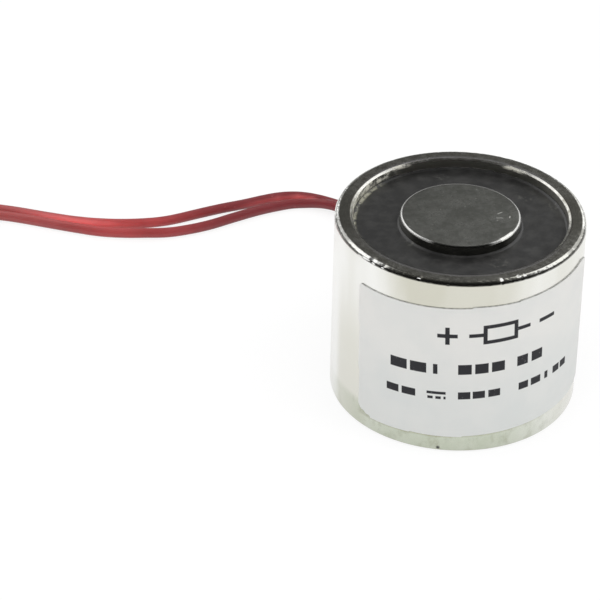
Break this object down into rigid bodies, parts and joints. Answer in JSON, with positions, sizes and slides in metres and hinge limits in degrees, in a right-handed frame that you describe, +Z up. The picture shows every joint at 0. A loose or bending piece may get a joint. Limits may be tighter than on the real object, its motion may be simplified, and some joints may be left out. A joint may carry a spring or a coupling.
{
  "type": "holding electromagnet",
  "caption": "Round pot electromagnet: a plated steel cup with a flush pole core, a potted coil, two red leads from the side and a tapped hole in its back for fixing.",
  "frame": {"origin": "centre of the base, on the surface that the magnet stands on", "axes": "+Z up along the magnet's axis towards its holding face, -Y towards the label's middle, +Y out of the lead hole"},
  "size_m": [0.0751, 0.0588, 0.02],
  "materials": {
    "nickel": "bright nickel plate over turned steel",
    "pole_steel": "ground steel face",
    "bobbin_plastic": "moulded nylon",
    "copper": "enamelled copper wire",
    "coil_tape": "polyester tape",
    "resin": "cast black epoxy",
    "label_paper": "satin coated label",
    "solder": "tinned",
    "sleeve": "woven insulating sleeve",
    "lead_pvc": "soft PVC insulation",
    "tie": "plastic-coated twist tie"
  },
  "bodies": {
    "root": {"cup": "nickel", "pole_core": "pole_steel", "bobbin": "bobbin_plastic", "winding": "copper", "winding_tape": "coil_tape", "potting": "resin", "label": "label_paper", "start_tail": "copper", "finish_tail": "copper", "start_splice": "solder", "finish_splice": "solder", "start_sleeve": "sleeve", "finish_sleeve": "sleeve", "lead_a_root": "lead_pvc", "lead_b_root": "lead_pvc", "lead_a_run": "lead_pvc", "lead_b_run": "lead_pvc", "lead_coil": "lead_pvc", "coil_tie": "tie", "lead_a_end": "lead_pvc", "lead_b_end": "lead_pvc", "lead_a_tip": "solder", "lead_b_tip": "solder"}
  },
  "joints": []
}
